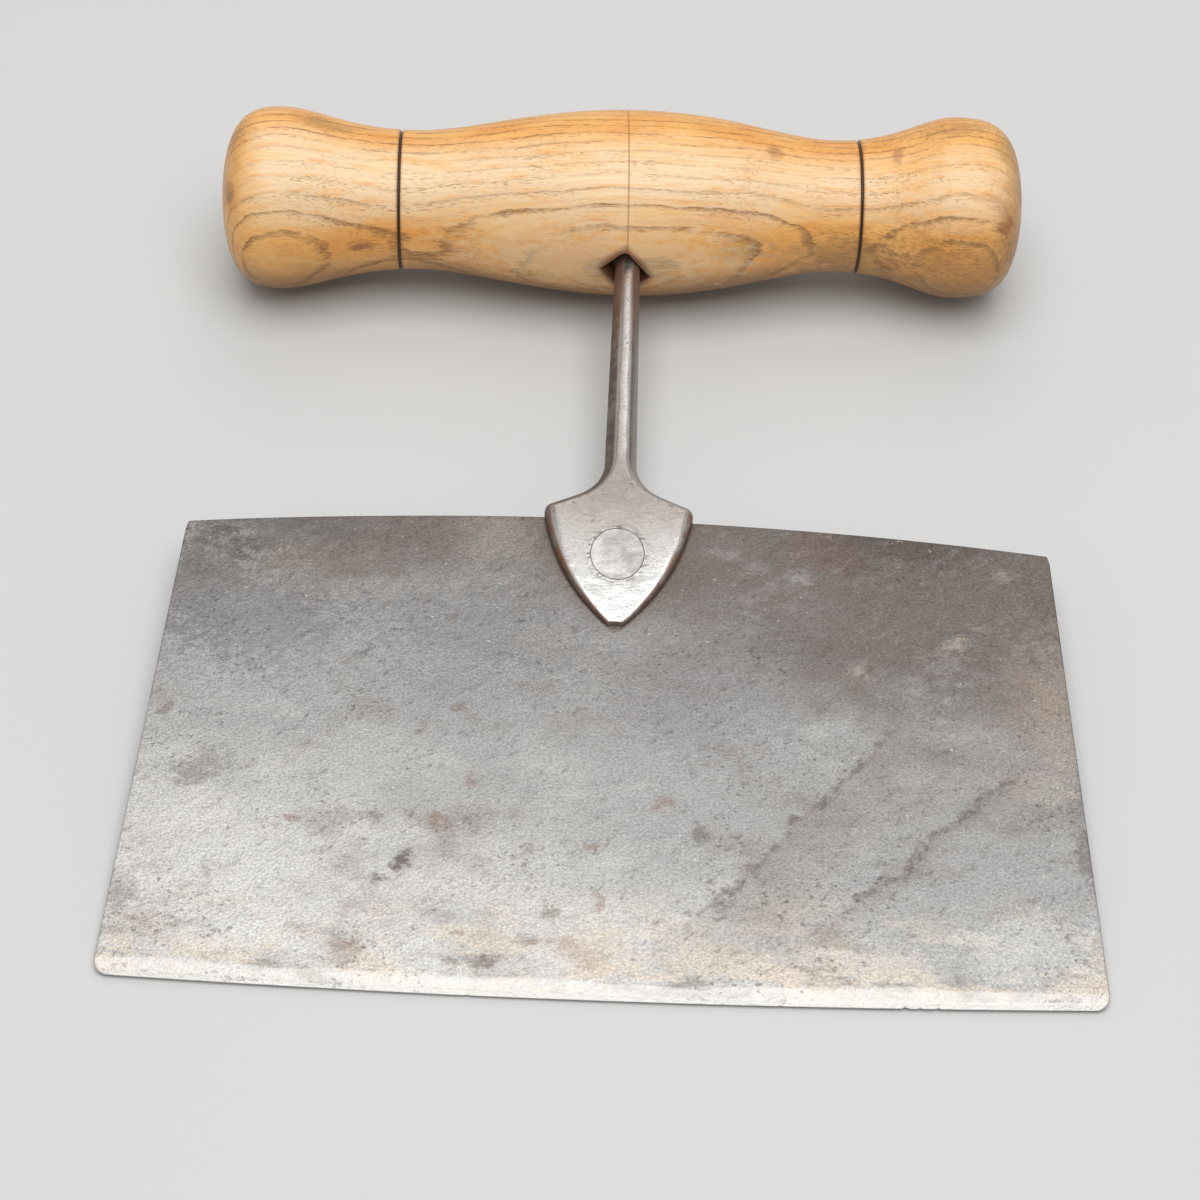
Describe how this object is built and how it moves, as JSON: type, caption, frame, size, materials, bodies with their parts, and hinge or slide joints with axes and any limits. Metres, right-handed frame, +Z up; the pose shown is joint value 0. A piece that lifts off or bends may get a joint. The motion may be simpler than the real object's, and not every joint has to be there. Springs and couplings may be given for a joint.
{
  "type": "herb chopper",
  "caption": "Single-bladed herb chopper: a broad flat steel blade riveted into the split palm of a forged shank, with a turned wooden T handle for push cutting on a board.",
  "frame": {"origin": "centre of the chopper's footprint on the table it lies on, at table height", "axes": "+X along the handle and the cutting edge to the right, +Y from the cutting edge to the handle, +Z up from the table"},
  "size_m": [0.1594, 0.1844, 0.0346],
  "materials": {
    "blade_steel": "worn carbon steel, grey-brown patina along the back, paler and brighter towards the cutting edge",
    "forged_steel": "forged carbon steel, burnished bright on the palm and the front facet, dark brown in the bevels",
    "rivet_steel": "soft steel rivet hammered and dressed flush",
    "handle_wood": "turned ring-porous hardwood, honey coloured, worn to a soft gloss, with two burnt rings",
    "rove_iron": "dull brown iron washer under the hammered end of the tang"
  },
  "bodies": {
    "root": {"blade": "blade_steel", "shank": "forged_steel", "rivet": "rivet_steel", "handle": "handle_wood", "rove": "rove_iron"}
  },
  "joints": []
}
